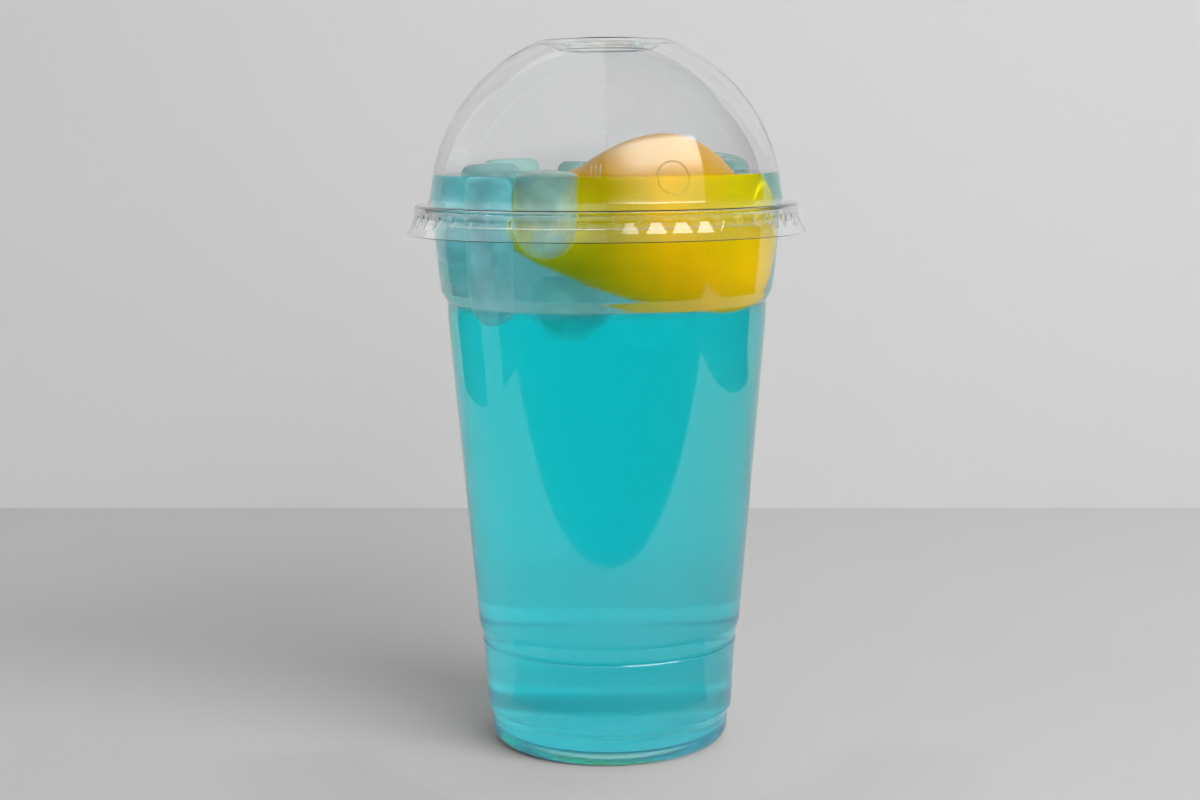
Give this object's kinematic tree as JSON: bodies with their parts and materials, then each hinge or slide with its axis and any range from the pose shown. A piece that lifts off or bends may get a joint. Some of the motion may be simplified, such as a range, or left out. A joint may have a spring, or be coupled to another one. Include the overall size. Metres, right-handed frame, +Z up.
{
  "type": "cup of blue raspberry lemonade",
  "caption": "Clear plastic cup under a closed domed lid, filled with blue raspberry lemonade, with ice pieces and a lemon floating at the top.",
  "frame": {"origin": "centre of the cup's base, on the surface that it stands on", "axes": "+Z up along the cup's axis; -Y is the side that the picture shows, with +X to its right"},
  "size_m": [0.103, 0.103, 0.1834],
  "materials": {
    "cup_plastic": "clear, thin and glossy",
    "lid_plastic": "clear, thin and glossy",
    "blue_drink": "clear turquoise blue liquid",
    "lemon_peel": "waxy, finely pitted yellow peel",
    "ice": "wet, cloudy at the core"
  },
  "bodies": {
    "root": {"cup": "cup_plastic", "lid": "lid_plastic", "drink": "blue_drink", "lemon": "lemon_peel", "ice_front": "ice", "ice_left": "ice", "ice_middle": "ice", "ice_back_left": "ice", "ice_back_right": "ice"}
  },
  "joints": []
}
